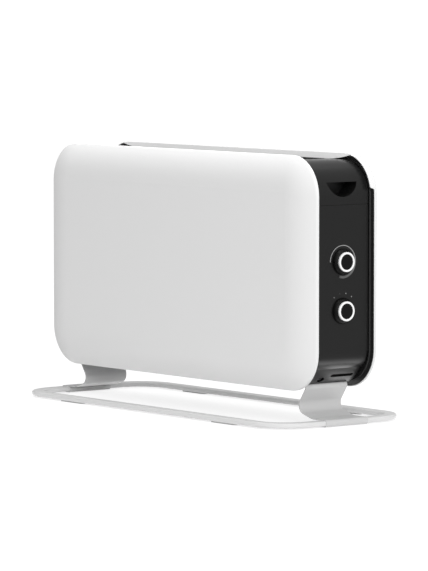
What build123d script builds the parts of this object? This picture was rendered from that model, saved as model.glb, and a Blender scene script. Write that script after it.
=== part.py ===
from build123d import *
import os

os.makedirs("parts", exist_ok=True)

# Overall sizes, in millimetres. X runs along the heater, -Y is its front, Z is up from the floor.
width = 725.0             # across the covers
height = 440.0            # floor to the top of the covers
depth = 162.0             # over the crowns of both covers
ground_gap = 56.0         # floor to the bottom of the covers
corner_radius = 66.0      # cover corners, seen from the front

# Pressed steel covers
cover_sheet = 1.2
rim_wall = 4.5            # straight wall at the open edge of a cover
rim_bend = 3.0            # bend between that wall and the crown
crown_band = 60.0         # width of the curved border
crown_height = 18.0       # rise from the wall to the flat middle
top_lap = 8.0             # how far the rear cover's upper rim reaches forward
hem_drop = 10.0           # depth of the hem folded down from that rim's front edge
hem_run = [(250.0, 10.0), (275.0, 8.6), (296.5, 5.4), (312.0, 2.0)]   # X and depth where it tapers
lap_level = 385.0         # middle of the step where that longer rim ends
lap_step = 4.0            # radius of each bend of that step

# Black body between the covers
body_inset = 10.0         # side faces and top, in from the cover outline
frame_sheet = 1.2
frame_setback = 0.5       # inner frames sit this far inside the cover rims
frame_clearance = 1.5     # frame outline, in from the cover outline
frame_top_drop = 6.5      # frames end this far below the top of the covers
lip_height = 3.0
lip_wall = 1.6
channel_depth = 4.0       # shadow channel between the side face and the frame lip
face_half = 50.5          # half the width of the flush side face
hollow_half = 46.0        # half the width of the hollow inside a side housing
shell_wall = 3.0
seam_level = 359.3        # joint between the control side and the handle housing
seam_gap = 0.4
housing_inner = 300.0     # where the lower side housings begin
grille_half = 250.0       # half the length of the outlet grille
plate_position = 262.0    # inner faces of the end plates

# Finger pockets of the carrying handles
pocket_top = 396.4
pocket_width = 64.0
pocket_height = 24.0
pocket_bottom_x = 318.0
pocket_wall = 2.5

# Lower corner of the side housings
roll_start = 118.0
roll_radius = 30.0
roll_angle = 60.0
toe_x = 311.0
toe_z = 67.0
crease = 1.2
screw_y = -19.0
screw_recess_radius = 6.5
screw_recess_depth = 4.0
screw_along = 0.27        # place of the screw up the toe, as a share of its length
screw_radius = 2.0
screw_length = 9.0
screw_head_radius = 4.2
screw_head_height = 2.6
slot_y = 20.5
slot_along = 0.52
slot_length = 47.0
slot_width = 7.0
slot_depth = 2.0
toe_bulge = 2.0           # how far the toe swells out of its flat plane
hollow_floor = 104.0
hollow_floor_x = 338.0
hollow_corner = 119.0
cap_inner_x = 300.0       # inner end of the handle housing's side part
cap_tongue = 12.0         # depth of its top part, which reaches in to the outlet grille

# Foot
ring_length = 727.0
ring_depth = 286.0
ring_corner = 68.0
ring_bar = 22.0
ring_thickness = 8.6
ring_edge = 3.4
pad_thickness = 2.0
bracket_width = 88.0
bracket_sheet = 1.6
bracket_flange_start = 268.0
bracket_shoulder = 311.8   # X of the first bend
bracket_drop = 7.0         # short upright below that bend
bracket_waist_x = 287.5    # innermost point of the strip
bracket_waist_z = 24.0
bracket_run_out = 327.7    # where the strip lies down on the ring
bracket_bends = [4.0, 5.0, 12.7, 30.0, 5.0, 5.0, 5.0]
clamp_return = 2.5         # the inner lip of the clamp ends this far below the top of the ring
bolt_pitch_x = 16.0
bolt_pitch_y = 60.0
bolt_radius = 2.5
bolt_head_radius = 4.5
bolt_head_height = 2.6
pad_pitch = 420.0
pad_length = 64.0
pad_width = 13.0

# Heating elements and inner sheet parts
element_level = 112.0
element_spacing = 48.0
element_rod_radius = 5.0
fin_half_length = 232.0
fin_gap = 3.0              # fins stop this far from the middle, at the support
fin_core_radius = 8.0
fin_span = 60.0
fin_wall = 1.8
fin_ribs = [(13.0, 9.0), (19.0, 12.0), (25.0, 15.0)]   # reach and span of the ribs on each arm
fin_rib_wall = 1.4
rod_half_length = 274.0
bushing_neck = 9.0
bushing_rim = 4.0
bushing_flange = 6.0
bushing_stub = 5.0
support_sheet = 2.0
support_bottom = 80.0
support_top = 145.0
plate_sheet = 1.2
plate_flange = 14.0
plate_bottom = 68.0
plate_top = 418.0
rivet_pitch = 96.0
rivet_radius = 2.0
rivet_head_radius = 3.6
rivet_head_height = 1.6
grille_height = 10.0
grille_drop = 2.0          # outlet grille, below the top of the body
blade_pitch = 13.0
blade_wall = 1.8
cutout_level = 330.0       # overheat cut-out
cutout_radius = 8.5
terminal_level = 158.0
tilt_level = 98.0

# Controls on the right side
thermostat_level = 267.1
selector_level = 187.0
knob_base_radius = 21.5
knob_neck_radius = 16.8
knob_height = 11.0
knob_gap = 0.6
bezel_outer_radius = 16.1
bezel_inner_radius = 12.8
ring_rise = 0.8
bezel_bevel = 0.6
ring_seat = 2.2
shaft_radius = 3.0
shaft_clearance = 0.08
control_body_rim = 4.0     # corner radius of the switch bodies
spindle_depth = 14.0       # how far a spindle reaches into its body
blade_width = 6.3          # push-on terminals
blade_sheet = 0.8
blade_length = 8.0

# Cord inlet, in the floor of the control compartment and clear of the bracket's bolts
gland_x = 281.0
gland_y = 0.0
gland_bore = 4.0
gland_neck = 7.0
gland_flange = 9.5
gland_flange_height = 3.0
gland_nut_height = 4.0
gland_bracket_gap = 1.0    # free space round the flange in the bracket's hole

cover_height = height - ground_gap
middle = ground_gap + cover_height / 2
rim_plane = depth / 2 - crown_height - rim_wall
frame_plane = rim_plane + frame_setback
frame_back = frame_plane + frame_sheet
side_face = width / 2 - body_inset
body_top = height - body_inset
body_bottom = ground_gap + body_inset
between_lips = frame_plane - lip_height - 0.2
body_radius = corner_radius - body_inset
corner_x = width / 2 - corner_radius
corner_z = height - corner_radius
inner_wall = side_face - shell_wall
ring_bottom = pad_thickness
ring_top = pad_thickness + ring_thickness


def save(block, name):
    """Label a finished piece and write its STEP file."""
    block.part.label = name
    export_step(block.part, f"parts/{name}.step")


def front_outline(inset, mode=Mode.ADD):
    """Draw the cover outline, pulled in by inset, in the open sketch."""
    with Locations((0, middle)):
        RectangleRounded(
            width - 2 * inset, cover_height - 2 * inset, corner_radius - inset, mode=mode)


# Front cover: one pressed sheet with a flat middle and a curved border
with BuildSketch(Plane.XZ.offset(rim_plane)) as cover_edge:
    front_outline(0)
with BuildPart() as front_cover:
    with BuildSketch(Plane.YZ):
        with BuildLine() as skin:
            wall_end = (-rim_plane - rim_wall, ground_gap)
            Line((-rim_plane, ground_gap), wall_end)
            TangentArc((-depth / 2, ground_gap + crown_band), wall_end, tangent=(0, -1))
            fillet(skin.vertices().sort_by_distance(wall_end)[0], radius=rim_bend)
            offset(amount=cover_sheet, side=Side.RIGHT)
        make_face()
    sweep(path=cover_edge.sketch.face().outer_wire())
    with BuildSketch(Plane.XZ.offset(depth / 2 - cover_sheet)):
        front_outline(crown_band)
    extrude(amount=cover_sheet)
save(front_cover, "front_cover")

# Rear cover: the same pressing, with a rim that laps further forward above a small step
# and ends in a hem folded down along the top
with BuildPart() as lap:
    with BuildSketch(Plane.XZ.offset(-rim_plane)):
        front_outline(0)
        front_outline(cover_sheet, mode=Mode.SUBTRACT)
    extrude(amount=top_lap)
    with BuildSketch(Plane.YZ):
        with BuildLine():
            start = (rim_plane - top_lap, lap_level + lap_step)
            step_path = Polyline(
                (rim_plane, lap_level - lap_step), (rim_plane, height + 1),
                (rim_plane - top_lap, height + 1), start)
            bend = TangentArc(start, (rim_plane - top_lap / 2, lap_level), tangent=(0, -1))
            TangentArc(bend @ 1, (rim_plane, lap_level - lap_step), tangent=bend % 1)
        make_face()
    extrude(amount=width, both=True, mode=Mode.INTERSECT)
with BuildPart() as hem:
    hem_plane = Plane.XZ.offset(top_lap - rim_plane)
    with BuildSketch(hem_plane):
        front_outline(0)
        with BuildLine():
            taper = [(x, height - drop) for x, drop in hem_run]
            low_right = Spline(*taper, tangents=[(1, 0), (1, 0.2)])
            low_left = Spline(*[(-x, z) for x, z in taper], tangents=[(-1, 0), (-1, 0.2)])
            Line(low_left @ 0, low_right @ 0)
            Polyline(
                low_right @ 1, (width, height - 2), (width, 0), (-width, 0),
                (-width, height - 2), low_left @ 1)
        make_face(mode=Mode.SUBTRACT)
    extrude(amount=-cover_sheet)
with BuildPart() as rear_cover:
    add(front_cover.part.mirror(Plane.XZ))
    add(lap.part)
    add(hem.part)
save(rear_cover, "rear_cover")


def inner_frame(name, rear):
    """Black sheet inside a cover's rim, with a lip that closes on the side housings."""
    with BuildPart() as frame:
        with BuildSketch(Plane.XZ.offset(frame_plane)):
            front_outline(frame_clearance)
            with Locations((0, height)):
                Rectangle(width, 2 * frame_top_drop, mode=Mode.SUBTRACT)
            with Locations((0, middle)):
                with GridLocations(2 * plate_position + plate_flange, rivet_pitch, 2, 4):
                    Circle(rivet_radius, mode=Mode.SUBTRACT)
        extrude(amount=frame_sheet)
        with BuildSketch(Plane.XZ.offset(frame_plane)):
            front_outline(body_inset)
            front_outline(body_inset + lip_wall, mode=Mode.SUBTRACT)
        extrude(amount=-lip_height)
        if rear:
            mirror(about=Plane.XZ, mode=Mode.REPLACE)
    save(frame, name)


inner_frame("front_inner_frame", rear=False)
inner_frame("rear_inner_frame", rear=True)


def cover_channels(name, rear):
    """Two hat-section channels that hold a cover off its inner frame and stiffen it."""
    sign = 1 if rear else -1
    gap = depth / 2 - cover_sheet - frame_back
    with BuildPart() as channels:
        for x in (-200, 200):
            with BuildSketch(Plane.XY.offset(middle - 120)):
                with BuildLine():
                    Polyline(
                        (x - 30, sign * frame_back), (x - 14, sign * frame_back),
                        (x - 10, sign * (frame_back + gap - plate_sheet)),
                        (x + 10, sign * (frame_back + gap - plate_sheet)),
                        (x + 14, sign * frame_back), (x + 30, sign * frame_back),
                        (x + 30, sign * (frame_back + plate_sheet)),
                        (x + 15.3, sign * (frame_back + plate_sheet)),
                        (x + 11.3, sign * (frame_back + gap)), (x - 11.3, sign * (frame_back + gap)),
                        (x - 15.3, sign * (frame_back + plate_sheet)),
                        (x - 30, sign * (frame_back + plate_sheet)), close=True)
                make_face()
            extrude(amount=240)
    save(channels, name)


cover_channels("front_cover_channels", rear=False)
cover_channels("rear_cover_channels", rear=True)


def side_outline(inset):
    """Lower side housing seen from the front: flat side, rolled corner, crease and toe."""
    with BuildLine() as edge:
        face_x = side_face - inset
        roll_end = (face_x - roll_radius * (1 - 0.5), roll_start - roll_radius * 0.866)
        upper = Line((face_x, seam_level), (face_x, roll_start))
        roll = CenterArc((face_x - roll_radius, roll_start), roll_radius, 0, -roll_angle)
        inside = roll @ 1 + Vector(-crease * 0.5, crease * 0.866)
        Line(roll @ 1, inside)
        toe = (toe_x - inset, toe_z + inset)
        SagittaArc(inside, toe, toe_bulge)
        Polyline(
            toe, (toe_x - 2.0 - inset, body_bottom + inset), (housing_inner, body_bottom + inset),
            (housing_inner, seam_level), (face_x, seam_level))
    make_face(edge.edges())


def toe_plane(along, y):
    """Plane on the sloping toe of the right housing, facing outwards."""
    low = Vector(toe_x, 0, toe_z)
    high = Vector(side_face - roll_radius * 0.5, 0, roll_start - roll_radius * 0.866)
    slope = (high - low).normalized()
    point = low + (high - low) * along + Vector(0, y, 0)
    return Plane(origin=point, x_dir=(0, 1, 0), z_dir=Vector(slope.Z, 0, -slope.X))


# Right side housing: control panel with rolled lower corner, screw recess and air slot
with BuildPart() as right_side_housing:
    with BuildSketch(Plane.XZ):
        side_outline(0)
    extrude(amount=face_half, both=True)
    with BuildSketch(Plane.XZ):
        side_outline(channel_depth)
    extrude(amount=frame_plane, both=True)
    with BuildSketch(Plane.XZ):
        with BuildLine():
            Polyline(
                (housing_inner, hollow_floor), (hollow_floor_x, hollow_floor),
                (inner_wall, hollow_corner), (inner_wall, seam_level), (housing_inner, seam_level),
                close=True)
        make_face()
    extrude(amount=hollow_half, both=True, mode=Mode.SUBTRACT)
    clear = 2 * toe_bulge
    with BuildSketch(toe_plane(slot_along, slot_y).offset(clear)):
        SlotOverall(slot_length, slot_width)
    extrude(amount=-clear - slot_depth, mode=Mode.SUBTRACT)
    with BuildSketch(toe_plane(screw_along, screw_y).offset(clear)):
        Circle(screw_recess_radius)
    extrude(amount=-clear - screw_recess_depth, mode=Mode.SUBTRACT)
    with BuildSketch(toe_plane(screw_along, screw_y)):
        Circle(screw_radius)
    extrude(amount=-screw_recess_depth - screw_length, mode=Mode.SUBTRACT)
    with BuildSketch(Plane.YZ.offset(inner_wall)):
        with Locations((0, thermostat_level), (0, selector_level)):
            Circle(shaft_radius + 0.5)
    extrude(amount=shell_wall, mode=Mode.SUBTRACT)
save(right_side_housing, "right_side_housing")

# Left side housing: the same moulding without the holes for the controls
with BuildPart() as left_side_housing:
    add(right_side_housing.part.mirror(Plane.YZ))
    with BuildSketch(Plane.YZ.offset(-side_face)):
        with Locations((0, thermostat_level), (0, selector_level)):
            Circle(shaft_radius + 0.5)
    extrude(amount=shell_wall)
save(left_side_housing, "left_side_housing")


def cap_outline(inset):
    """Handle housing seen from the front: side, corner round and top, open towards the middle."""
    with BuildLine() as edge:
        low = seam_level + seam_gap
        side_x = side_face - inset
        top_z = body_top - inset
        Polyline((cap_inner_x, low), (side_x, low), (side_x, corner_z))
        CenterArc((corner_x, corner_z), body_radius - inset, 0, 90)
        Polyline(
            (corner_x, top_z), (grille_half, top_z), (grille_half, body_top - cap_tongue),
            (cap_inner_x, body_top - cap_tongue), (cap_inner_x, low))
    make_face(edge.edges())


def pocket_outline(grow):
    """Half-moon of the finger pocket: a flat top edge over a round bowl."""
    half = pocket_width / 2 + grow
    with BuildLine() as edge:
        Line((-half, pocket_top + grow), (half, pocket_top + grow))
        SagittaArc((half, pocket_top + grow), (-half, pocket_top + grow), pocket_height + 2 * grow)
    make_face(edge.edges())


# Cup behind the half-moon opening, cut to the outside of the cap
with BuildPart() as pocket_cup:
    with BuildSketch(Plane.YZ.offset(pocket_bottom_x - pocket_wall)):
        pocket_outline(pocket_wall)
    extrude(amount=side_face)
    with BuildSketch(Plane.XZ):
        cap_outline(0)
    extrude(amount=face_half, both=True, mode=Mode.INTERSECT)

# Right handle housing: moulded cap over the upper corner, with the finger pocket
with BuildPart() as right_handle_housing:
    with BuildSketch(Plane.XZ):
        cap_outline(0)
    extrude(amount=face_half, both=True)
    with BuildSketch(Plane.XZ):
        cap_outline(channel_depth)
    extrude(amount=frame_plane, both=True)
    with BuildSketch(Plane.XZ):
        with BuildLine():
            hollow_low = seam_level + seam_gap
            Polyline((cap_inner_x, hollow_low), (inner_wall, hollow_low), (inner_wall, corner_z))
            CenterArc((corner_x, corner_z), body_radius - shell_wall, 0, 90)
            Polyline(
                (corner_x, body_top - shell_wall), (grille_half, body_top - shell_wall),
                (grille_half, body_top - cap_tongue), (cap_inner_x, body_top - cap_tongue),
                (cap_inner_x, hollow_low))
        make_face()
    extrude(amount=hollow_half, both=True, mode=Mode.SUBTRACT)
    add(pocket_cup.part)
    with BuildSketch(Plane.YZ.offset(pocket_bottom_x)):
        pocket_outline(0)
    extrude(amount=side_face, mode=Mode.SUBTRACT)
save(right_handle_housing, "right_handle_housing")
with BuildPart() as left_handle_housing:
    add(right_handle_housing.part.mirror(Plane.YZ))
save(left_handle_housing, "left_handle_housing")

# Outlet grille: frame with long blades and cross ribs, set between the handle housings
grille_top = body_top - grille_drop
with BuildPart() as outlet_grille:
    with BuildSketch(Plane.XY.offset(grille_top - grille_height)):
        Rectangle(2 * grille_half, 2 * frame_plane)
        Rectangle(2 * grille_half - 12, 2 * frame_plane - 8, mode=Mode.SUBTRACT)
        with GridLocations(0, blade_pitch, 1, 8):
            Rectangle(2 * grille_half - 10, blade_wall)
        with GridLocations(122, 0, 3, 1):
            Rectangle(4, 2 * frame_plane - 6)
    extrude(amount=grille_height)
save(outlet_grille, "outlet_grille")

# Intake grille: slotted sheet that closes the underside between the end plates
with BuildPart() as intake_grille:
    with BuildSketch(Plane.XY.offset(body_bottom)):
        Rectangle(2 * plate_position, 2 * between_lips)
        with GridLocations(22, 52, 22, 2):
            Rectangle(9, 40, mode=Mode.SUBTRACT)
    extrude(amount=plate_sheet)
save(intake_grille, "intake_grille")

element_spots = Locations((-element_spacing / 2, element_level), (element_spacing / 2, element_level))


def end_plate(name, side):
    """Folded sheet that carries the elements, the rivets of the frames and the foot bracket."""
    web_middle = (plate_bottom + plate_top) / 2
    flange_x = side * (plate_position + plate_flange / 2)
    floor_x = side * (plate_position + housing_inner) / 2
    with BuildPart() as plate:
        with BuildSketch(Plane.YZ.offset(side * plate_position)):
            with Locations((0, web_middle)):
                Rectangle(2 * frame_plane, plate_top - plate_bottom)
            with Locations((0, body_bottom)):
                Rectangle(2 * between_lips, plate_bottom - body_bottom, align=(Align.CENTER, Align.MIN))
            with element_spots:
                Circle(bushing_neck, mode=Mode.SUBTRACT)
            if side > 0:
                with Locations((0, cutout_level)):
                    Circle(cutout_radius, mode=Mode.SUBTRACT)
        extrude(amount=side * plate_sheet)
        for wall in (-1, 1):
            with BuildSketch(Plane.XZ.offset(wall * (frame_plane - plate_sheet))):
                with Locations((flange_x, web_middle)):
                    Rectangle(plate_flange, plate_top - plate_bottom)
                with Locations((flange_x, middle)):
                    with GridLocations(0, rivet_pitch, 1, 4):
                        Circle(rivet_radius, mode=Mode.SUBTRACT)
            extrude(amount=wall * plate_sheet)
        with BuildSketch(Plane.XY.offset(body_bottom)):
            with Locations((floor_x, 0)):
                Rectangle(housing_inner - plate_position, 2 * between_lips)
                with GridLocations(bolt_pitch_x, bolt_pitch_y, 2, 2):
                    Circle(bolt_radius, mode=Mode.SUBTRACT)
            if side > 0:
                with Locations((gland_x, gland_y)):
                    Circle(gland_neck, mode=Mode.SUBTRACT)
        extrude(amount=plate_sheet)
    save(plate, name)


end_plate("right_end_plate", 1)
end_plate("left_end_plate", -1)


def heating_element(name, y):
    """Extruded X-shaped element: a round core, four ribbed arms and the heater rod through it."""
    with BuildPart() as element:
        with BuildSketch(Plane.YZ.offset(fin_gap)):
            with Locations((y, element_level)):
                Circle(fin_core_radius)
                for angle in (45, 135):
                    Rectangle(fin_span, fin_wall, rotation=angle)
                    for reach, span in fin_ribs:
                        with PolarLocations(reach, 2, start_angle=angle):
                            Rectangle(fin_rib_wall, span)
        extrude(amount=fin_half_length - fin_gap)
        mirror(about=Plane.YZ)
        with BuildSketch(Plane.YZ.offset(-rod_half_length)):
            with Locations((y, element_level)):
                Circle(element_rod_radius)
        extrude(amount=2 * rod_half_length)
    save(element, name)


heating_element("front_heating_element", -element_spacing / 2)
heating_element("rear_heating_element", element_spacing / 2)

# Ceramic bushings that carry the rods in the end plates
with BuildPart() as element_bushings:
    for side in (-1, 1):
        with BuildSketch(Plane.YZ.offset(side * (plate_position - bushing_flange))):
            with element_spots:
                Circle(bushing_neck + bushing_rim)
        extrude(amount=side * bushing_flange)
        with BuildSketch(Plane.YZ.offset(side * plate_position)):
            with element_spots:
                Circle(bushing_neck)
        extrude(amount=side * (plate_sheet + bushing_stub))
        with BuildSketch(Plane.YZ.offset(side * (plate_position - bushing_flange))):
            with element_spots:
                Circle(element_rod_radius)
        extrude(amount=side * (bushing_flange + plate_sheet + bushing_stub), mode=Mode.SUBTRACT)
save(element_bushings, "element_bushings")

# Blade terminals on the rod ends
with BuildPart() as element_terminals:
    for side in (-1, 1):
        with BuildSketch(Plane.YZ.offset(side * rod_half_length)):
            with element_spots:
                Rectangle(blade_width, blade_sheet)
        extrude(amount=side * blade_length)
save(element_terminals, "element_terminals")

# Sheet that steadies both rods halfway along
with BuildPart() as element_support:
    with BuildSketch(Plane.YZ.offset(-support_sheet / 2)):
        with Locations((0, (support_bottom + support_top) / 2)):
            Rectangle(2 * frame_plane, support_top - support_bottom)
        with element_spots:
            Circle(element_rod_radius, mode=Mode.SUBTRACT)
    extrude(amount=support_sheet)
save(element_support, "element_support")

# Foot ring: flat bar bent into a rounded rectangle
with BuildPart() as base_ring:
    with BuildSketch(Plane.XY.offset(ring_bottom)):
        RectangleRounded(ring_length, ring_depth, ring_corner)
        RectangleRounded(
            ring_length - 2 * ring_bar, ring_depth - 2 * ring_bar, ring_corner - ring_bar,
            mode=Mode.SUBTRACT)
    extrude(amount=ring_thickness)
    fillet(base_ring.edges().filter_by(Plane.XY), radius=ring_edge)
save(base_ring, "base_ring")

# Anti-slip pads under the front and rear bars
with BuildPart() as foot_pads:
    with BuildSketch(Plane.XY):
        with GridLocations(pad_pitch, ring_depth - ring_bar, 2, 2):
            SlotOverall(pad_length, pad_width)
    extrude(amount=pad_thickness)
save(foot_pads, "foot_pads")

# Right foot bracket: one bent strip from the underside of the body round the end of the ring
clamp_outer = ring_length / 2 + bracket_sheet
clamp_top = ring_top + bracket_sheet
clamp_bottom = ring_bottom - bracket_sheet
clamp_inner = ring_length / 2 - ring_bar - bracket_sheet
with BuildPart() as right_foot_bracket:
    with BuildSketch(Plane.XZ):
        with BuildLine() as strip:
            FilletPolyline(
                (bracket_flange_start, body_bottom), (bracket_shoulder, body_bottom),
                (bracket_shoulder, body_bottom - bracket_drop), (bracket_waist_x, bracket_waist_z),
                (bracket_run_out, clamp_top), (clamp_outer, clamp_top),
                (clamp_outer, clamp_bottom), (clamp_inner, clamp_bottom),
                (clamp_inner, ring_top - clamp_return),
                radius=bracket_bends)
            offset(amount=bracket_sheet, side=Side.RIGHT)
        make_face()
    extrude(amount=bracket_width / 2, both=True)
    with BuildSketch(Plane.XY.offset(body_bottom - bracket_sheet)):
        with Locations(((plate_position + housing_inner) / 2, 0)):
            with GridLocations(bolt_pitch_x, bolt_pitch_y, 2, 2):
                Circle(bolt_radius)
        with Locations((gland_x, gland_y)):
            Circle(gland_flange + gland_bracket_gap)
    extrude(amount=bracket_sheet, mode=Mode.SUBTRACT)
save(right_foot_bracket, "right_foot_bracket")
with BuildPart() as left_foot_bracket:
    add(right_foot_bracket.part.mirror(Plane.YZ))
save(left_foot_bracket, "left_foot_bracket")

# Pan-head bolts that hold the brackets up to the end plates
with BuildPart() as bracket_screws:
    for side in (-1, 1):
        spot = Locations((side * (plate_position + housing_inner) / 2, 0))
        with BuildSketch(Plane.XY.offset(body_bottom - bracket_sheet)):
            with spot:
                with GridLocations(bolt_pitch_x, bolt_pitch_y, 2, 2):
                    Circle(bolt_radius)
        extrude(amount=bracket_sheet + plate_sheet)
        with BuildSketch(Plane.XY.offset(body_bottom - bracket_sheet)):
            with spot:
                with GridLocations(bolt_pitch_x, bolt_pitch_y, 2, 2):
                    Circle(bolt_head_radius)
        extrude(amount=-bolt_head_height, taper=20)
save(bracket_screws, "bracket_screws")

# Cross-head screws in the toe recesses of the side housings
with BuildPart() as housing_screws:
    recess_floor = toe_plane(screw_along, screw_y).offset(-screw_recess_depth)
    with BuildSketch(recess_floor):
        Circle(screw_head_radius)
    extrude(amount=screw_head_height, taper=12)
    with BuildSketch(recess_floor):
        Circle(screw_radius)
    extrude(amount=-screw_length)
    with BuildSketch(recess_floor.offset(screw_head_height)):
        Rectangle(4.4, 1.1)
        Rectangle(1.1, 4.4)
    extrude(amount=-1.6, mode=Mode.SUBTRACT)
    mirror(about=Plane.YZ)
save(housing_screws, "housing_screws")

# Rivets that tie the inner frames to the end plates
with BuildPart() as frame_rivets:
    for side in (-1, 1):
        with BuildSketch(Plane.XZ.offset(side * (frame_plane - plate_sheet))):
            with Locations((0, middle)):
                with GridLocations(2 * plate_position + plate_flange, rivet_pitch, 2, 4):
                    Circle(rivet_radius)
        extrude(amount=side * (plate_sheet + frame_sheet))
        with BuildSketch(Plane.XZ.offset(side * frame_back)):
            with Locations((0, middle)):
                with GridLocations(2 * plate_position + plate_flange, rivet_pitch, 2, 4):
                    Circle(rivet_head_radius)
        extrude(amount=side * rivet_head_height, taper=25)
save(frame_rivets, "frame_rivets")


def control_body(name, level, across, tall, thick):
    """Switch body inside the panel, with two terminals and the bearing of its spindle."""
    with BuildPart() as block:
        with BuildSketch(Plane.YZ.offset(inner_wall)):
            with Locations((0, level)):
                RectangleRounded(across, tall, control_body_rim)
        extrude(amount=-thick)
        with BuildSketch(Plane.YZ.offset(inner_wall - thick)):
            with Locations((0, level)):
                with GridLocations(across / 2, 0, 2, 1):
                    Rectangle(blade_sheet, blade_width)
        extrude(amount=-blade_length)
        with BuildSketch(Plane.YZ.offset(inner_wall)):
            with Locations((0, level)):
                Circle(shaft_radius + shaft_clearance)
        extrude(amount=-spindle_depth, mode=Mode.SUBTRACT)
    save(block, name)


knob_back = side_face + knob_gap
knob_front = side_face + knob_height - ring_rise
ring_back = knob_front - ring_seat
spindle_start = inner_wall - spindle_depth + 0.5


def control_spindle(name, level):
    """Round spindle from the switch body to the knob."""
    with BuildPart() as spindle:
        with BuildSketch(Plane.YZ.offset(spindle_start)):
            with Locations((0, level)):
                Circle(shaft_radius)
        extrude(amount=ring_back - spindle_start)
    save(spindle, name)


def control_knob(name, level, index_angle):
    """Knob with a flared skirt, a seat for its bright ring and a small index notch."""
    with BuildPart() as knob:
        with BuildSketch(Plane.XZ):
            with BuildLine() as edge:
                skirt = (knob_back + 1.0, level + knob_base_radius)
                neck = (ring_back, level + knob_neck_radius)
                Polyline((knob_back, level), (knob_back, level + knob_base_radius), skirt)
                SagittaArc(skirt, neck, 0.8)
                Polyline(
                    neck, (ring_back, level + bezel_inner_radius),
                    (knob_front, level + bezel_inner_radius), (knob_front, level),
                    (knob_back, level))
            make_face()
        revolve(axis=Axis((0, 0, level), (1, 0, 0)))
        with BuildSketch(Plane.YZ.offset(knob_back)):
            with Locations((0, level)):
                Circle(shaft_radius)
        extrude(amount=ring_back - knob_back, mode=Mode.SUBTRACT)
        with BuildSketch(Plane.YZ.offset(knob_back)):
            with Locations((0, level)):
                with PolarLocations(knob_base_radius, 1, start_angle=index_angle):
                    Rectangle(2.4, 1.2)
        extrude(amount=ring_back - knob_back, mode=Mode.SUBTRACT)
    save(knob, name)


def control_bezel(name, level):
    """Bright ring on the front of a knob."""
    with BuildPart() as bezel:
        with BuildSketch(Plane.YZ.offset(ring_back)):
            with Locations((0, level)):
                Circle(bezel_outer_radius)
                Circle(bezel_inner_radius, mode=Mode.SUBTRACT)
        extrude(amount=ring_seat + ring_rise)
        chamfer(bezel.edges().group_by(Axis.X)[-1], length=bezel_bevel)
    save(bezel, name)


control_body("thermostat_body", thermostat_level, across=38.0, tall=38.0, thick=24.0)
control_spindle("thermostat_spindle", thermostat_level)
control_knob("thermostat_knob", thermostat_level, index_angle=180)
control_bezel("thermostat_bezel", thermostat_level)
control_body("selector_body", selector_level, across=30.0, tall=44.0, thick=26.0)
control_spindle("selector_spindle", selector_level)
control_knob("selector_knob", selector_level, index_angle=129)
control_bezel("selector_bezel", selector_level)

plate_face = plate_position + plate_sheet

# Overheat cut-out: a disc thermostat whose sensing face reaches through the right end plate
with BuildPart() as overheat_cutout:
    with BuildSketch(Plane.YZ.offset(plate_face)):
        with Locations((0, cutout_level)):
            RectangleRounded(24, 34, 5)
    extrude(amount=1.0)
    with BuildSketch(Plane.YZ.offset(plate_position - 4.0)):
        with Locations((0, cutout_level)):
            Circle(cutout_radius)
    extrude(amount=plate_sheet + 14.0)
    with BuildSketch(Plane.YZ.offset(plate_face + 10.0)):
        with Locations((0, cutout_level)):
            with GridLocations(9, 0, 2, 1):
                Rectangle(blade_sheet, blade_width)
    extrude(amount=blade_length)
save(overheat_cutout, "overheat_cutout")

# Terminal block for the supply, low in the control compartment
with BuildPart() as terminal_block:
    with BuildSketch(Plane.YZ.offset(plate_face)):
        with Locations((0, terminal_level)):
            RectangleRounded(36, 24, 2)
    extrude(amount=15)
    with BuildSketch(Plane.YZ.offset(plate_face + 15)):
        with Locations((0, terminal_level)):
            with GridLocations(11, 12, 3, 2):
                Circle(2.4)
    extrude(amount=-6, mode=Mode.SUBTRACT)
save(terminal_block, "terminal_block")

# Tilt switch: sealed housing between the element bushings
with BuildPart() as tilt_switch:
    with BuildSketch(Plane.YZ.offset(plate_face)):
        with Locations((0, tilt_level)):
            RectangleRounded(22, 30, 3)
    extrude(amount=18)
save(tilt_switch, "tilt_switch")

# Cord inlet: a flanged gland through the floor of the control compartment, with its nut
with BuildPart() as cord_gland:
    with Locations((gland_x, gland_y, body_bottom - gland_flange_height)):
        Cylinder(gland_flange, gland_flange_height, align=(Align.CENTER, Align.CENTER, Align.MIN))
        Cylinder(
            gland_neck, gland_flange_height + plate_sheet + gland_nut_height + 2,
            align=(Align.CENTER, Align.CENTER, Align.MIN))
    with BuildSketch(Plane.XY.offset(body_bottom + plate_sheet)):
        with Locations((gland_x, gland_y)):
            RegularPolygon(gland_flange + 0.5, 6)
    extrude(amount=gland_nut_height)
    with Locations((gland_x, gland_y, body_bottom - gland_flange_height)):
        Cylinder(
            gland_bore, ground_gap, align=(Align.CENTER, Align.CENTER, Align.MIN),
            mode=Mode.SUBTRACT)
save(cord_gland, "cord_gland")
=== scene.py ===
import math

import bmesh
import bpy
from mathutils import Matrix, Vector


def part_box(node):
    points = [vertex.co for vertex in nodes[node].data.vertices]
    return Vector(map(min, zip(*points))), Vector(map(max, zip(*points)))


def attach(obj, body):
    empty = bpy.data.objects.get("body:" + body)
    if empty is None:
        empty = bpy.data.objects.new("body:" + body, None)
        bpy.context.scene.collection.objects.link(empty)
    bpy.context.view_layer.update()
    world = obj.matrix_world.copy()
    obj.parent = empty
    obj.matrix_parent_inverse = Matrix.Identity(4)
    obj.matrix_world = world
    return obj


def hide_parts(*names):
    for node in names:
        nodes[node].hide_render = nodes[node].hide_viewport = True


bl_info = {
    "name": "Convector heater looks",
    "version": (1, 0, 0),
    "blender": (4, 5, 0),
    "location": "3D View > Sidebar > Heater",
    "description": "Finishes, printed scales, bright rings and the studio round a convector heater",
    "category": "Object",
}

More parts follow.
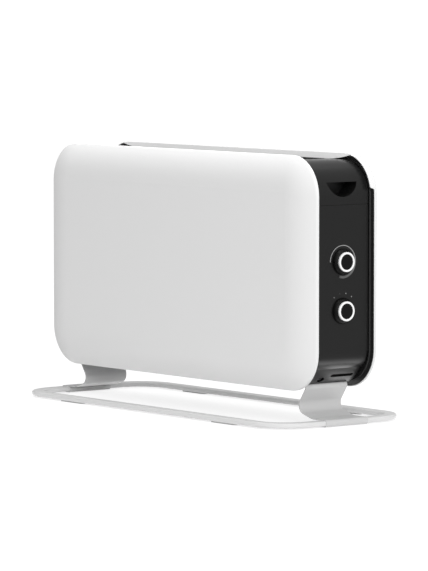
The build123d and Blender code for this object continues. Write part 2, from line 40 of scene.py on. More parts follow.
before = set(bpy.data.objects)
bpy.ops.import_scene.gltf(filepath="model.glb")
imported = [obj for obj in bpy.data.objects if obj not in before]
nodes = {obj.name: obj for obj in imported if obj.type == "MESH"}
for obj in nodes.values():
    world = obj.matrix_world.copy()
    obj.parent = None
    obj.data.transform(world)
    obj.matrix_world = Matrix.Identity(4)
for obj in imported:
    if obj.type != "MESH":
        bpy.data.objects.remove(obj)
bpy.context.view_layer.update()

MM = 0.001

# Values shared by the finishes
RELIEF_DEPTH = 0.2 * MM             # height of the grain at full depth
LINE_STRETCH = (0.02, 1.0, 1.0)     # drawn lines run long in X
DRIFT_TINT = (0.55, 0.54, 0.52)     # what the tone drifts towards

# The selector's dots: angle from upright in degrees, and strength of the print
DOT_MARKS = ((-39.0, 0.62), (-13.0, 0.16), (13.0, 0.80), (39.0, 0.80))


def dial_facts(prefix):
    """Centre height, panel face and bright ring of one dial, read from the CAD boxes."""
    low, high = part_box(prefix + "_bezel")
    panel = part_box("right_side_housing")[1][0]
    return {
        "height": (low[2] + high[2]) / 2,
        "panel": panel,
        "ring_back": low[0],
        "ring_front": high[0],
        "ring_radius": (high[2] - low[2]) / 2,
    }


thermostat = dial_facts("thermostat")
selector = dial_facts("selector")


class HeaterColours(bpy.types.PropertyGroup):
    cover: bpy.props.FloatVectorProperty(
        name="Cover enamel", description="White enamel of both covers",
        subtype="COLOR", default=(0.80, 0.80, 0.80))
    foot: bpy.props.FloatVectorProperty(
        name="Foot enamel", description="Enamel of the ring foot",
        subtype="COLOR", default=(0.72, 0.72, 0.72))
    bracket: bpy.props.FloatVectorProperty(
        name="Bracket enamel", description="Enamel of the foot brackets",
        subtype="COLOR", default=(0.62, 0.62, 0.62))
    housing: bpy.props.FloatVectorProperty(
        name="Housing black", description="Moulded side and handle housings",
        subtype="COLOR", default=(0.007, 0.007, 0.007))
    frame_black: bpy.props.FloatVectorProperty(
        name="Frame black", description="Enamel of the inner frames and grilles",
        subtype="COLOR", default=(0.016, 0.016, 0.016))
    knob: bpy.props.FloatVectorProperty(
        name="Knob black", description="Plastic of the knobs",
        subtype="COLOR", default=(0.003, 0.003, 0.003))
    # Ring: white that paints in the bright reflection of the chrome bezels
    ring: bpy.props.FloatVectorProperty(
        name="Ring painted reflection", description="Bright rings on the knobs",
        subtype="COLOR", default=(0.95, 0.95, 0.95))
    # Lip: lighter black of a painted highlight strip along the frames' lips, standing in for their
    # edge highlight
    lip: bpy.props.FloatVectorProperty(
        name="Lip black", description="Painted highlight along the edge of the inner frames' lips",
        subtype="COLOR", default=(0.045, 0.045, 0.045))
    # Channel black: a lighter black painted onto the channel floors as painted light, lifting the
    # shade of the recesses
    channel_painted_light: bpy.props.FloatVectorProperty(
        name="Channel black", description="Painted light on the channel floors beside the panel",
        subtype="COLOR", default=(0.022, 0.022, 0.022))
    print_grey: bpy.props.FloatVectorProperty(
        name="Scale print", description="Printed arc and dots on the control panel",
        subtype="COLOR", default=(0.34, 0.34, 0.34))


class HeaterControls(bpy.types.PropertyGroup):
    scale_radius: bpy.props.FloatProperty(
        name="Scale radius", description="Outer radius of the thermostat's printed arc",
        default=27.2 * MM, unit="LENGTH")
    scale_sweep: bpy.props.FloatProperty(
        name="Scale sweep", description="Angle that the printed arc covers",
        default=math.radians(293), subtype="ANGLE")
    stroke_start: bpy.props.FloatProperty(
        name="Stroke at the start", description="Width of the arc at its cool end",
        default=1.2 * MM, unit="LENGTH")
    stroke_end: bpy.props.FloatProperty(
        name="Stroke at the end", description="Width of the arc at its warm end",
        default=4.0 * MM, unit="LENGTH")
    dot_circle: bpy.props.FloatProperty(
        name="Dot circle", description="Radius on which the selector's dots stand",
        default=29.0 * MM, unit="LENGTH")
    dot_radius: bpy.props.FloatProperty(
        name="Dot radius", description="Radius of one selector dot",
        default=1.1 * MM, unit="LENGTH")
    print_height: bpy.props.FloatProperty(
        name="Print height", description="How far the print stands off the panel",
        default=0.06 * MM, unit="LENGTH")
    ring_width: bpy.props.FloatProperty(
        name="Ring width", description="Face width of a knob's bright ring",
        default=3.3 * MM, unit="LENGTH")


class HeaterStudio(bpy.types.PropertyGroup):
    azimuth: bpy.props.FloatProperty(
        name="Camera azimuth", description="Angle of the camera round the heater",
        default=math.radians(52.0), subtype="ANGLE")
    elevation: bpy.props.FloatProperty(
        name="Camera elevation", description="Angle of the camera above the horizon",
        default=math.radians(4.362), subtype="ANGLE")
    focal_length: bpy.props.FloatProperty(
        name="Focal length", description="Lens of the camera, in millimetres",
        default=256.83)
    distance: bpy.props.FloatProperty(
        name="Camera distance", description="From the camera to the origin, along its sight line",
        default=6.908573, unit="LENGTH")
    shift_right: bpy.props.FloatProperty(
        name="Slide right", description="Camera moved sideways from the line to the origin",
        default=0.00782, unit="LENGTH")
    shift_up: bpy.props.FloatProperty(
        name="Slide up", description="Camera moved up from the line to the origin",
        default=0.206649, unit="LENGTH")
    ambient: bpy.props.FloatProperty(
        name="Ambient light", description="Strength of the even light all round",
        default=0.69)
    backdrop: bpy.props.FloatProperty(
        name="Backdrop", description="How bright the camera sees the backdrop",
        default=1.08)
    reflected: bpy.props.FloatProperty(
        name="Reflected backdrop", description="How bright gloss shows the backdrop",
        default=0.45)
    side_power: bpy.props.FloatProperty(
        name="Side light", description="Power of the large light on the control side, in watts",
        default=55.0)
    top_power: bpy.props.FloatProperty(
        name="Top light", description="Power of the overhead light, in watts",
        default=14.0)
    strip_power: bpy.props.FloatProperty(
        name="Strip light", description="Power of the strip light over the heater, in watts",
        default=0.9)
    floor_glow: bpy.props.FloatProperty(
        name="Floor glow", description="How much the floor glows for the camera",
        default=0.80)
    near_glow: bpy.props.FloatProperty(
        name="Near floor in gloss", description="Glow that gloss sees close to the heater",
        default=1.70)
    far_glow: bpy.props.FloatProperty(
        name="Far floor in gloss", description="Glow that gloss sees further off",
        default=0.12)
    near_edge: bpy.props.FloatProperty(
        name="Near edge", description="Distance from the middle where the near glow starts to fade",
        default=0.38, unit="LENGTH")
    far_edge: bpy.props.FloatProperty(
        name="Far edge", description="Distance from the middle where the near glow has gone",
        default=0.50, unit="LENGTH")


# Shader groups shared by the finishes


def new_group(name, inputs, outputs):
    """Empty shader group with named sockets, its input node and its output node."""
    group = bpy.data.node_groups.new(name, "ShaderNodeTree")
    for socket, kind, value in inputs:
        item = group.interface.new_socket(name=socket, in_out="INPUT", socket_type=kind)
        item.default_value = value
    for socket, kind in outputs:
        group.interface.new_socket(name=socket, in_out="OUTPUT", socket_type=kind)
    return group, group.nodes.new("NodeGroupInput"), group.nodes.new("NodeGroupOutput")


def object_place(group, stretch=(1.0, 1.0, 1.0)):
    """Object coordinates, which are metres in the heater's own frame, stretched along its axes."""
    place = group.nodes.new("ShaderNodeTexCoord")
    mapping = group.nodes.new("ShaderNodeMapping")
    mapping.inputs["Scale"].default_value = stretch
    group.links.new(place.outputs["Object"], mapping.inputs["Vector"])
    return mapping.outputs["Vector"]


def build_grain_group():
    """Fine surface grain: the peel of enamel, or the spark texture of moulded plastic."""
    group, given, result = new_group(
        "Surface grain",
        [("Scale", "NodeSocketFloat", 900.0), ("Depth", "NodeSocketFloat", 0.2)],
        [("Normal", "NodeSocketVector")])
    noise = group.nodes.new("ShaderNodeTexNoise")
    noise.inputs["Detail"].default_value = 3.0
    bump = group.nodes.new("ShaderNodeBump")
    bump.inputs["Distance"].default_value = RELIEF_DEPTH
    group.links.new(object_place(group), noise.inputs["Vector"])
    group.links.new(given.outputs["Scale"], noise.inputs["Scale"])
    group.links.new(given.outputs["Depth"], bump.inputs["Strength"])
    group.links.new(noise.outputs["Fac"], bump.inputs["Height"])
    group.links.new(bump.outputs["Normal"], result.inputs["Normal"])
    return group


def build_tone_group():
    """Slow drift of colour and gloss over a surface, as paint and moulding have."""
    group, given, result = new_group(
        "Tone drift",
        [("Color", "NodeSocketColor", (0.8, 0.8, 0.8, 1.0)), ("Scale", "NodeSocketFloat", 6.0),
         ("Amount", "NodeSocketFloat", 0.05), ("Roughness", "NodeSocketFloat", 0.4),
         ("Spread", "NodeSocketFloat", 0.05)],
        [("Color", "NodeSocketColor"), ("Roughness", "NodeSocketFloat")])
    noise = group.nodes.new("ShaderNodeTexNoise")
    noise.inputs["Detail"].default_value = 4.0
    darker = group.nodes.new("ShaderNodeMath")
    darker.operation = "MULTIPLY"
    mix = group.nodes.new("ShaderNodeMix")
    mix.data_type = "RGBA"
    mix.blend_type = "MULTIPLY"
    mix.inputs["B"].default_value = (*DRIFT_TINT, 1.0)
    gloss = group.nodes.new("ShaderNodeMath")
    gloss.operation = "MULTIPLY_ADD"
    group.links.new(object_place(group), noise.inputs["Vector"])
    group.links.new(given.outputs["Scale"], noise.inputs["Scale"])
    group.links.new(noise.outputs["Fac"], darker.inputs[0])
    group.links.new(given.outputs["Amount"], darker.inputs[1])
    group.links.new(darker.outputs["Value"], mix.inputs["Factor"])
    group.links.new(given.outputs["Color"], mix.inputs["A"])
    group.links.new(mix.outputs["Result"], result.inputs["Color"])
    group.links.new(noise.outputs["Fac"], gloss.inputs[0])
    group.links.new(given.outputs["Spread"], gloss.inputs[1])
    group.links.new(given.outputs["Roughness"], gloss.inputs[2])
    group.links.new(gloss.outputs["Value"], result.inputs["Roughness"])
    return group


def build_drawn_group():
    """Fine lines along the heater, left by drawing, extruding or rolling metal."""
    group, given, result = new_group(
        "Drawn lines",
        [("Scale", "NodeSocketFloat", 700.0), ("Depth", "NodeSocketFloat", 0.3)],
        [("Normal", "NodeSocketVector")])
    noise = group.nodes.new("ShaderNodeTexNoise")
    noise.inputs["Detail"].default_value = 2.0
    bump = group.nodes.new("ShaderNodeBump")
    bump.inputs["Distance"].default_value = RELIEF_DEPTH
    group.links.new(object_place(group, LINE_STRETCH), noise.inputs["Vector"])
    group.links.new(given.outputs["Scale"], noise.inputs["Scale"])
    group.links.new(given.outputs["Depth"], bump.inputs["Strength"])
    group.links.new(noise.outputs["Fac"], bump.inputs["Height"])
    group.links.new(bump.outputs["Normal"], result.inputs["Normal"])
    return group


shader_groups = {}


def shared_group(key):
    """A shader group, built the first time it is asked for."""
    if key not in shader_groups:
        builders = {
            "grain": build_grain_group, "tone": build_tone_group, "drawn": build_drawn_group,
        }
        shader_groups[key] = builders[key]()
    return shader_groups[key]


def place_group(material, key, **values):
    """Put a shared group into a material with its own values."""
    node = material.node_tree.nodes.new("ShaderNodeGroup")
    node.node_tree = shared_group(key)
    for socket, value in values.items():
        node.inputs[socket].default_value = value
    return node


def make_finish(name, colour, roughness, spread=0.06, drift=0.06, drift_scale=7.0,
                texture="grain", scale=900.0, depth=0.15, metallic=0.0, specular=0.5,
                coat=0.0, coat_roughness=0.15):
    """Principled material whose tone, gloss and surface vary through the shared groups."""
    material = bpy.data.materials.new(name)
    material.use_nodes = True
    tree = material.node_tree
    shader = tree.nodes["Principled BSDF"]
    shader.inputs["Metallic"].default_value = metallic
    shader.inputs["Specular IOR Level"].default_value = specular
    shader.inputs["Coat Weight"].default_value = coat
    shader.inputs["Coat Roughness"].default_value = coat_roughness
    tone = place_group(
        material, "tone", Color=(*colour, 1.0), Scale=drift_scale, Amount=drift,
        Roughness=roughness, Spread=spread)
    relief = place_group(material, texture, Scale=scale, Depth=depth)
    tree.links.new(tone.outputs["Color"], shader.inputs["Base Color"])
    tree.links.new(tone.outputs["Roughness"], shader.inputs["Roughness"])
    tree.links.new(relief.outputs["Normal"], shader.inputs["Normal"])
    return material


def coat_nodes(material, *names):
    """Give CAD nodes a finish in place of their plain one."""
    for name in names:
        for slot in nodes[name].material_slots:
            slot.material = material


def new_piece(name, mesh, material, body):
    """Link a finished mesh as a piece that rides on a body."""
    mesh.materials.append(material)
    piece = bpy.data.objects.new(name, mesh)
    bpy.context.scene.collection.objects.link(piece)
    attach(piece, body)
    return piece


def smooth_faces(mesh, angle=35.0):
    """Smooth shading with edges sharper than the angle kept crisp."""
    for polygon in mesh.polygons:
        polygon.use_smooth = True
    mesh.set_sharp_from_angle(angle=math.radians(angle))


# Finishes of the CAD nodes


class HEATER_OT_finish_sheet_metal(bpy.types.Operator):
    """Enamel the covers, the foot, the brackets, the frames and the grilles"""
    bl_idname = "heater.finish_sheet_metal"
    bl_label = "Finish the enamelled metal"

    def execute(self, context):
        colours = context.scene.heater_colours
        cover = make_finish(
            "Cover enamel", colours.cover, 0.42, drift=0.015, scale=700.0, depth=0.05,
            specular=0.35)
        foot = make_finish(
            "Foot enamel", colours.foot, 0.38, drift=0.02, scale=800.0, depth=0.06, specular=0.4)
        bracket = make_finish(
            "Bracket enamel", colours.bracket, 0.42, drift=0.04, scale=800.0, depth=0.08,
            specular=0.4)
        black = make_finish(
            "Frame enamel", colours.frame_black, 0.34, drift=0.2, scale=900.0, depth=0.1,
            specular=0.4)
        coat_nodes(cover, "front_cover", "rear_cover")
        coat_nodes(foot, "base_ring")
        coat_nodes(bracket, "right_foot_bracket", "left_foot_bracket")
        coat_nodes(
            black, "front_inner_frame", "rear_inner_frame", "outlet_grille", "intake_grille")
        return {"FINISHED"}


class HEATER_OT_finish_mouldings(bpy.types.Operator):
    """Give the housings, knobs, gland and pads their plastic and rubber"""
    bl_idname = "heater.finish_mouldings"
    bl_label = "Finish the mouldings"

    def execute(self, context):
        colours = context.scene.heater_colours
        housing = make_finish(
            "Housing plastic", colours.housing, 0.27, spread=0.05, drift=0.25, drift_scale=5.0,
            scale=2600.0, depth=0.05, specular=0.5)
        knob = make_finish(
            "Knob plastic", colours.knob, 0.42, drift=0.2, scale=1800.0, depth=0.06,
            specular=0.22)
        gland = make_finish(
            "Gland plastic", (0.02, 0.02, 0.02), 0.45, drift=0.2, scale=1500.0, depth=0.15)
        rubber = make_finish(
            "Pad rubber", (0.60, 0.60, 0.60), 0.75, drift=0.2, drift_scale=30.0,
            scale=1200.0, depth=0.4, specular=0.3)
        ivory = make_finish(
            "Switch plastic", (0.72, 0.71, 0.68), 0.45, drift=0.1, scale=1600.0, depth=0.1)
        coat_nodes(
            housing, "right_side_housing", "left_side_housing", "right_handle_housing",
            "left_handle_housing")
        coat_nodes(knob, "thermostat_knob", "selector_knob")
        coat_nodes(gland, "cord_gland")
        coat_nodes(rubber, "foot_pads")
        coat_nodes(
            ivory, "thermostat_body", "selector_body", "terminal_block", "tilt_switch",
            "overheat_cutout")
        return {"FINISHED"}


class HEATER_OT_finish_inner_metal(bpy.types.Operator):
    """Give the elements, plates, terminals and fasteners their bare metal"""
    bl_idname = "heater.finish_inner_metal"
    bl_label = "Finish the bare metal"

    def execute(self, context):
        zinc = make_finish(
            "Zinc sheet", (0.52, 0.54, 0.56), 0.38, spread=0.2, drift=0.5, drift_scale=60.0,
            scale=240.0, depth=0.12, metallic=1.0)
        element = make_finish(
            "Element alloy", (0.66, 0.66, 0.67), 0.34, spread=0.15, drift=0.25,
            drift_scale=25.0, texture="drawn", scale=1400.0, depth=0.25, metallic=1.0)
        ceramic = make_finish(
            "Bushing ceramic", (0.78, 0.75, 0.68), 0.6, drift=0.15, drift_scale=40.0,
            scale=900.0, depth=0.3)
        brass = make_finish(
            "Terminal brass", (0.70, 0.53, 0.24), 0.3, drift=0.3, drift_scale=60.0,
            texture="drawn", scale=1600.0, depth=0.2, metallic=1.0)
        steel = make_finish(
            "Fastener steel", (0.16, 0.16, 0.17), 0.32, drift=0.3, drift_scale=120.0,
            scale=1500.0, depth=0.15, metallic=1.0)
        spindle = make_finish(
            "Spindle steel", (0.55, 0.55, 0.56), 0.28, drift=0.2, texture="drawn",
            scale=1500.0, depth=0.2, metallic=1.0)
        coat_nodes(
            zinc, "right_end_plate", "left_end_plate", "element_support",
            "front_cover_channels", "rear_cover_channels")
        coat_nodes(element, "front_heating_element", "rear_heating_element")
        coat_nodes(ceramic, "element_bushings")
        coat_nodes(brass, "element_terminals")
        coat_nodes(steel, "bracket_screws", "housing_screws", "frame_rivets")
        coat_nodes(spindle, "thermostat_spindle", "selector_spindle")
        return {"FINISHED"}


# Painted highlight on the frames' lips and painted light in the channels


CORNER_STEPS = 24       # straight spans in each corner of the outline


def rounded_outline(half_width, low, high, radius):
    """Points and outward directions round a rounded rectangle, from the top right corner on."""
    points = []
    middles = (
        (half_width - radius, high - radius, 90.0), (half_width - radius, low + radius, 0.0),
        (radius - half_width, low + radius, -90.0), (radius - half_width, high - radius, 180.0))
    for x, z, start in middles:
        for step in range(CORNER_STEPS + 1):
            angle = math.radians(start - 90.0 * step / CORNER_STEPS)
            out = Vector((math.cos(angle), 0.0, math.sin(angle)))
            points.append((Vector((x, 0.0, z)) + out * radius, out))
    return points


def strip_mesh(name, points, thickness, y_low, y_high, closed):
    """Thin flat band that follows an outline, from the outline inwards by its thickness."""
    mesh = bpy.data.meshes.new(name)
    build = bmesh.new()
    section = ((0.0, y_low), (0.0, y_high), (-thickness, y_high), (-thickness, y_low))
    rows = []
    for point, out in points:
        rows.append([
            build.verts.new(point + out * lift + Vector((0.0, y, 0.0))) for lift, y in section])
    links = list(zip(rows, rows[1:]))
    if closed:
        links.append((rows[-1], rows[0]))
    for here, there in links:
        for i in range(4):
            j = (i + 1) % 4
            build.faces.new((here[i], here[j], there[j], there[i]))
    if not closed:
        build.faces.new(rows[0])
        build.faces.new(list(reversed(rows[-1])))
    bmesh.ops.recalc_face_normals(build, faces=build.faces)
    build.to_mesh(mesh)
    build.free()
    smooth_faces(mesh)
    return mesh


class HEATER_OT_paint_frame_light(bpy.types.Operator):
    """Paint a highlight along the inner frames' lips and paint light onto the channel floors beside
    the panels
    """
    bl_idname = "heater.trim_frames"
    bl_label = "Paint light on the frames"

    inset = 10.0 * MM                           # side faces in from the cover's outline
    proud = 0.12 * MM                           # how far the painted highlight stands off the lip
    corner_radius = 56.0 * MM
    channel_depth = 3.7 * MM
    seam_level = 0.360                          # joint under the handle housing
    panel_levels = (0.359, 0.240, 0.119)        # path of the painted light beside the panel, from the seam to the roll
    lip_span = (56.2 * MM, 58.9 * MM)           # both edges, out from the middle plane
    channel_span = (50.7 * MM, 55.8 * MM)
    # thickness of the painted highlight strip on the lips
    highlight_coat = 0.10 * MM
    painted_light_coat = 0.25 * MM

    def execute(self, context):
        colours = context.scene.heater_colours
        # Painted highlight: a lighter black strip over the lips stands in for the edge highlight
        # they would catch
        painted_highlight = make_finish(
            "Lip painted highlight", colours.lip, 0.4, drift=0.1, scale=900.0, depth=0.05, specular=0.4)
        # Painted light: a lighter black strip on the channel floors lifts the shade that the recess
        # casts
        channel_light_paint = make_finish(
            "Channel painted light", colours.channel_painted_light, 0.45, drift=0.2, scale=2000.0, depth=0.08,
            specular=0.3)
        loop = self.body_outline()
        upper, panel = self.channel_paths(loop)
        for side, word in ((-1, "front"), (1, "rear")):
            span = sorted(side * edge for edge in self.lip_span)
            mesh = strip_mesh(f"{word}_lip_painted_highlight", loop, self.highlight_coat, *span, closed=True)
            new_piece(f"{word}_lip_painted_highlight", mesh, painted_highlight, "heater")
            span = sorted(side * edge for edge in self.channel_span)
            for end, hand in ((1, "right"), (-1, "left")):
                for part, path in (("upper", upper), ("panel", panel)):
                    placed = [
                        (Vector((end * p.x, 0.0, p.z)), Vector((end * o.x, 0.0, o.z)))
                        for p, o in path]
                    name = f"{hand}_{word}_{part}_liner"
                    mesh = strip_mesh(name, placed, self.painted_light_coat, *span, closed=False)
                    new_piece(name, mesh, channel_light_paint, "heater")
        return {"FINISHED"}

    def body_outline(self):
        """Outline of the black body in the front view, just proud of its lips."""
        low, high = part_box("front_cover")
        return rounded_outline(
            high[0] - self.inset + self.proud, low[2] + self.inset - self.proud,
            high[2] - self.inset + self.proud, self.corner_radius + self.proud)

    def channel_paths(self, loop):
        """Floors of the right channels: round the upper corner, and down beside the panel."""
        sunk = self.channel_depth + self.proud
        upper = [(point - out * sunk, out) for point, out in loop[:CORNER_STEPS + 1]]
        side, outward = upper[-1][0].x, Vector((1.0, 0.0, 0.0))
        upper.append((Vector((side, 0.0, self.seam_level)), outward))
        panel = [(Vector((side, 0.0, z)), outward) for z in self.panel_levels]
        return upper, panel


# Printed scales on the control panel


def print_material(name, colour, faded):
    """Printing ink. With faded, it sinks into the black of the panel where the paint thins out."""
    material = make_finish(
        name, colour, 0.5, drift=0.1, drift_scale=300.0, scale=2500.0, depth=0.08,
        specular=0.2)
    if faded:
        tree = material.node_tree
        shader = tree.nodes["Principled BSDF"]
        ink = tree.nodes.new("ShaderNodeAttribute")
        ink.attribute_name = "ink"
        mix = tree.nodes.new("ShaderNodeMix")
        mix.data_type = "RGBA"
        mix.inputs["A"].default_value = (*bpy.context.scene.heater_colours.housing, 1.0)
        source = shader.inputs["Base Color"].links[0].from_socket
        tree.links.new(source, mix.inputs["B"])
        tree.links.new(ink.outputs["Fac"], mix.inputs["Factor"])
        tree.links.new(mix.outputs["Result"], shader.inputs["Base Color"])
    return material


def smooth_step(value):
    """Ease from 0 to 1."""
    value = min(max(value, 0.0), 1.0)
    return value * value * (3.0 - 2.0 * value)


class HEATER_OT_print_thermostat_scale(bpy.types.Operator):
    """Print the tapering arc round the thermostat knob"""
    bl_idname = "heater.print_thermostat_scale"
    bl_label = "Print the thermostat's scale"

    def execute(self, context):
        controls = context.scene.heater_controls
        steps = 120
        swell_start, swell_span = 0.38, 0.55        # where the stroke widens, as shares of the arc
        tail_start, tail_span = 0.95, 0.05          # where its end runs out
        fading = 0.68                               # ink that the wide end has lost
        centre = Vector((thermostat["panel"], 0.0, thermostat["height"]))
        mesh = bpy.data.meshes.new("thermostat_scale")
        build = bmesh.new()
        ink = build.verts.layers.float.new("ink")
        rows = []
        for step in range(steps + 1):
            share = step / steps
            angle = share * controls.scale_sweep
            growth = smooth_step((share - swell_start) / swell_span)
            width = controls.stroke_start + (controls.stroke_end - controls.stroke_start) * growth
            tail = smooth_step((share - tail_start) / tail_span)
            strength = (1.0 - fading * growth) * (1.0 - tail)
            outward = Vector((0.0, -math.cos(angle), math.sin(angle)))
            row = []
            for reach in (controls.scale_radius - width, controls.scale_radius):
                for lift in (0.0, controls.print_height):
                    vert = build.verts.new(centre + outward * reach + Vector((lift, 0.0, 0.0)))
                    vert[ink] = strength
                    row.append(vert)
            rows.append(row)
        for before, after in zip(rows, rows[1:]):
            for a, b in ((0, 1), (1, 3), (3, 2), (2, 0)):
                build.faces.new((before[a], before[b], after[b], after[a]))
        build.faces.new((rows[0][0], rows[0][2], rows[0][3], rows[0][1]))
        build.faces.new((rows[-1][0], rows[-1][1], rows[-1][3], rows[-1][2]))
        bmesh.ops.recalc_face_normals(build, faces=build.faces)
        build.to_mesh(mesh)
        build.free()
        material = print_material(
            "Scale print", context.scene.heater_colours.print_grey, faded=True)
        new_piece("thermostat_scale", mesh, material, "heater")
        return {"FINISHED"}


class HEATER_OT_print_selector_dots(bpy.types.Operator):
    """Print the four dots over the selector knob"""
    bl_idname = "heater.print_selector_dots"
    bl_label = "Print the selector's dots"

    def execute(self, context):
        controls = context.scene.heater_controls
        grey = Vector(context.scene.heater_colours.print_grey)
        turn = Matrix.Rotation(math.radians(90), 4, "Y")
        half_lift = Vector((controls.print_height / 2, 0.0, 0.0))
        for count, (degrees, strength) in enumerate(DOT_MARKS):
            angle = math.radians(degrees)
            spot = Vector((
                selector["panel"], math.sin(angle) * controls.dot_circle,
                selector["height"] + math.cos(angle) * controls.dot_circle))
            mesh = bpy.data.meshes.new(f"selector_dot_{count}")
            build = bmesh.new()
            bmesh.ops.create_cone(
                build, cap_ends=True, segments=28, radius1=controls.dot_radius,
                radius2=controls.dot_radius * 0.9, depth=controls.print_height,
                matrix=Matrix.Translation(spot + half_lift) @ turn)
            build.to_mesh(mesh)
            build.free()
            smooth_faces(mesh)
            material = print_material(f"Dot print {count}", grey * strength, faded=False)
            new_piece(f"selector_dot_{count}", mesh, material, "heater")
        return {"FINISHED"}


# Bright rings on the knobs, their white a painted reflection of the bezels' chrome


def lathe(name, profile, height, segments=128):
    """Turn a closed profile of (x, radius) points about a dial's axis."""
    mesh = bpy.data.meshes.new(name)
    build = bmesh.new()
    columns = []
    for step in range(segments):
        angle = 2 * math.pi * step / segments
        out = Vector((0.0, math.cos(angle), math.sin(angle)))
        columns.append([
            build.verts.new(Vector((x, 0.0, height)) + out * radius) for x, radius in profile])
    count = len(profile)
    for step in range(segments):
        here, there = columns[step], columns[(step + 1) % segments]
        for i in range(count):
            j = (i + 1) % count
            build.faces.new((here[i], here[j], there[j], there[i]))
    bmesh.ops.recalc_face_normals(build, faces=build.faces)
    build.to_mesh(mesh)
    build.free()
    smooth_faces(mesh)
    return mesh


def rounded_corner(x, radius, reach, turn_from, turn_to, steps=5):
    """Points round one corner of a ring's section, between two angles in degrees."""
    points = []
    for step in range(steps + 1):
        angle = math.radians(turn_from + (turn_to - turn_from) * step / steps)
        points.append((x + reach * math.cos(angle), radius + reach * math.sin(angle)))
    return points


class HEATER_OT_fit_bright_rings(bpy.types.Operator):
    """Fit a turned bright ring on each knob, in white gloss that paints in the reflection of the
    bezel's chrome
    """
    bl_idname = "heater.fit_bright_rings"
    bl_label = "Fit the bright rings"

    def execute(self, context):
        controls = context.scene.heater_controls
        # Painted reflection: white gloss stands in for the bright reflection of the chrome bezel
        bright = make_finish(
            "Ring gloss", context.scene.heater_colours.ring, 0.18, spread=0.04, drift=0.02,
            scale=2500.0, depth=0.03, specular=0.5, coat=0.3)
        bend = 0.5 * MM
        for prefix, facts in (("thermostat", thermostat), ("selector", selector)):
            outer = facts["ring_radius"]
            inner = outer - controls.ring_width
            front = facts["ring_front"]
            profile = [(facts["ring_back"], inner), (facts["ring_back"], outer)]
            profile += rounded_corner(front - bend, outer - bend, bend, 90, 0)
            profile += rounded_corner(front - bend, inner + bend, bend, 0, -90)
            mesh = lathe(f"{prefix}_bright_ring", profile, facts["height"])
            ring = new_piece(
                f"{prefix}_bright_ring", mesh, bright, f"{prefix}_dial")
            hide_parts(f"{prefix}_bezel")
        return {"FINISHED"}


# Studio


def area_light(name, power, size, place, aim):
    """Large soft light that looks at a point."""
    data = bpy.data.lights.new(name, "AREA")
    data.shape = "RECTANGLE"
    data.size, data.size_y = size
    data.energy = power
    light = bpy.data.objects.new(name, data)
    light.location = place
    light.rotation_euler = (Vector(aim) - Vector(place)).to_track_quat("-Z", "Y").to_euler()
    bpy.context.scene.collection.objects.link(light)
    return light


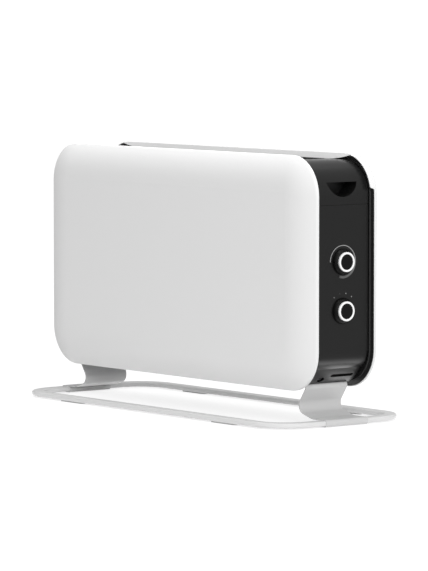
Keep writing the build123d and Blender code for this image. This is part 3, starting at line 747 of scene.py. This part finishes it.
class HEATER_OT_build_studio(bpy.types.Operator):
    """Lay the floor, light the heater and set the camera at the photograph's angle"""
    bl_idname = "heater.build_studio"
    bl_label = "Build the studio"

    floor_half = 14.0
    floor_drop = 0.3 * MM                # keeps the floor clear of the pads
    floor_albedo = (0.88, 0.88, 0.88)    # as its bounced light sees it
    seen_albedo = (0.34, 0.34, 0.34)     # as the camera and gloss see it, under its glow

    def execute(self, context):
        studio = context.scene.heater_studio
        self.lay_floor(studio)
        self.light_world(studio)
        # Each light: size, place, and the point that it looks at
        area_light("Side light", studio.side_power, (2.2, 2.2), (3.6, -1.2, 1.6), (0.2, 0.0, 0.25))
        area_light("Top light", studio.top_power, (2.4, 1.6), (0.2, 0.2, 2.6), (0.0, 0.0, 0.2))
        strip = area_light(
            "Strip light", studio.strip_power, (1.0, 0.05), (0.0, -0.05, 0.60), (0.0, 0.06, 0.42))
        strip.visible_camera = False
        self.set_camera(studio)
        context.scene.view_settings.view_transform = "Standard"
        return {"FINISHED"}

    def lay_floor(self, studio):
        """Large floor that keeps the heater's shadow and glows to white for the camera."""
        mesh = bpy.data.meshes.new("studio_floor")
        half = self.floor_half
        mesh.from_pydata(
            [(-half, -half, 0), (half, -half, 0), (half, half, 0), (-half, half, 0)], [],
            [(0, 1, 2, 3)])
        floor = bpy.data.objects.new("studio_floor", mesh)
        floor.location = (0.0, 0.0, -self.floor_drop)
        bpy.context.scene.collection.objects.link(floor)
        material = bpy.data.materials.new("Studio floor")
        material.use_nodes = True
        tree = material.node_tree
        tree.nodes.clear()
        path = tree.nodes.new("ShaderNodeLightPath")
        bounce = tree.nodes.new("ShaderNodeBsdfDiffuse")
        bounce.inputs["Color"].default_value = (*self.floor_albedo, 1.0)
        matt = tree.nodes.new("ShaderNodeBsdfDiffuse")
        matt.inputs["Color"].default_value = (*self.seen_albedo, 1.0)
        glow = tree.nodes.new("ShaderNodeEmission")
        tree.links.new(self.glow_level(tree, path, studio), glow.inputs["Strength"])
        seen = tree.nodes.new("ShaderNodeMath")
        seen.operation = "MAXIMUM"
        shown = tree.nodes.new("ShaderNodeAddShader")
        total = tree.nodes.new("ShaderNodeMixShader")
        result = tree.nodes.new("ShaderNodeOutputMaterial")
        tree.links.new(path.outputs["Is Camera Ray"], seen.inputs[0])
        tree.links.new(path.outputs["Is Glossy Ray"], seen.inputs[1])
        tree.links.new(seen.outputs["Value"], total.inputs["Fac"])
        tree.links.new(matt.outputs["BSDF"], shown.inputs[0])
        tree.links.new(glow.outputs["Emission"], shown.inputs[1])
        tree.links.new(bounce.outputs["BSDF"], total.inputs[1])
        tree.links.new(shown.outputs["Shader"], total.inputs[2])
        tree.links.new(total.outputs["Shader"], result.inputs["Surface"])
        mesh.materials.append(material)

    def glow_level(self, tree, path, studio):
        """Even glow for the camera. In gloss, only the floor close to the heater glows brightly."""
        place = tree.nodes.new("ShaderNodeTexCoord")
        distance = tree.nodes.new("ShaderNodeVectorMath")
        distance.operation = "LENGTH"
        near = tree.nodes.new("ShaderNodeMapRange")
        near.interpolation_type = "SMOOTHSTEP"
        near.inputs["From Min"].default_value = studio.far_edge
        near.inputs["From Max"].default_value = studio.near_edge
        near.inputs["To Min"].default_value = studio.far_glow
        near.inputs["To Max"].default_value = studio.near_glow
        tree.links.new(place.outputs["Object"], distance.inputs[0])
        tree.links.new(distance.outputs["Value"], near.inputs["Value"])
        level = tree.nodes.new("ShaderNodeMix")
        level.inputs["A"].default_value = studio.floor_glow
        tree.links.new(path.outputs["Is Glossy Ray"], level.inputs["Factor"])
        tree.links.new(near.outputs["Result"], level.inputs["B"])
        return level.outputs["Result"]

    def light_world(self, studio):
        """White surroundings, with a level of their own for the camera and for gloss."""
        world = bpy.data.worlds.new("Studio")
        bpy.context.scene.world = world
        world.use_nodes = True
        tree = world.node_tree
        backdrop = tree.nodes["Background"]
        backdrop.inputs["Color"].default_value = (1.0, 1.0, 1.0, 1.0)
        path = tree.nodes.new("ShaderNodeLightPath")
        level = self.add_share(
            tree, path.outputs["Is Camera Ray"], studio.backdrop - studio.ambient, studio.ambient)
        level = self.add_share(
            tree, path.outputs["Is Glossy Ray"], studio.reflected - studio.ambient, level)
        tree.links.new(level, backdrop.inputs["Strength"])

    def add_share(self, tree, mask, change, base):
        """Base plus the change where the mask is 1. Base is a number or a socket."""
        node = tree.nodes.new("ShaderNodeMath")
        node.operation = "MULTIPLY_ADD"
        tree.links.new(mask, node.inputs[0])
        node.inputs[1].default_value = change
        if isinstance(base, float):
            node.inputs[2].default_value = base
        else:
            tree.links.new(base, node.inputs[2])
        return node.outputs["Value"]

    def set_camera(self, studio):
        """Camera on its line of sight to the origin, slid right and up from it."""
        turn, rise = studio.azimuth, studio.elevation
        right = Vector((math.cos(turn), math.sin(turn), 0.0))
        forward = Vector((
            -math.sin(turn) * math.cos(rise), math.cos(turn) * math.cos(rise), -math.sin(rise)))
        up = right.cross(forward)
        place = right * studio.shift_right + up * studio.shift_up - forward * studio.distance
        data = bpy.data.cameras.new("Camera")
        data.lens = studio.focal_length
        data.sensor_width = 36.0
        data.clip_end = 60.0
        camera = bpy.data.objects.new("Camera", data)
        pose = Matrix((right, up, -forward)).transposed().to_4x4()
        pose.translation = place
        camera.matrix_world = pose
        bpy.context.scene.collection.objects.link(camera)
        bpy.context.scene.camera = camera


class HEATER_PT_panel(bpy.types.Panel):
    """Sidebar panel with the heater's steps and settings"""
    bl_idname = "HEATER_PT_panel"
    bl_label = "Convector heater"
    bl_space_type = "VIEW_3D"
    bl_region_type = "UI"
    bl_category = "Heater"

    def draw(self, context):
        for step in STEPS:
            self.layout.operator(step.bl_idname)
        for settings in (
                context.scene.heater_colours, context.scene.heater_controls,
                context.scene.heater_studio):
            box = self.layout.box()
            for key in settings.__annotations__:
                box.prop(settings, key)


STEPS = (
    HEATER_OT_finish_sheet_metal,
    HEATER_OT_finish_mouldings,
    HEATER_OT_finish_inner_metal,
    HEATER_OT_paint_frame_light,
    HEATER_OT_print_thermostat_scale,
    HEATER_OT_print_selector_dots,
    HEATER_OT_fit_bright_rings,
    HEATER_OT_build_studio,
)
CLASSES = (HeaterColours, HeaterControls, HeaterStudio, *STEPS, HEATER_PT_panel)


def register():
    for cls in CLASSES:
        bpy.utils.register_class(cls)
    bpy.types.Scene.heater_colours = bpy.props.PointerProperty(type=HeaterColours)
    bpy.types.Scene.heater_controls = bpy.props.PointerProperty(type=HeaterControls)
    bpy.types.Scene.heater_studio = bpy.props.PointerProperty(type=HeaterStudio)


def unregister():
    del bpy.types.Scene.heater_studio
    del bpy.types.Scene.heater_controls
    del bpy.types.Scene.heater_colours
    for cls in reversed(CLASSES):
        bpy.utils.unregister_class(cls)


def main():
    register()
    bpy.ops.heater.finish_sheet_metal()
    bpy.ops.heater.finish_mouldings()
    bpy.ops.heater.finish_inner_metal()
    bpy.ops.heater.trim_frames()
    bpy.ops.heater.print_thermostat_scale()
    bpy.ops.heater.print_selector_dots()
    bpy.ops.heater.fit_bright_rings()
    bpy.ops.heater.build_studio()


if __name__ == "__main__":
    main()
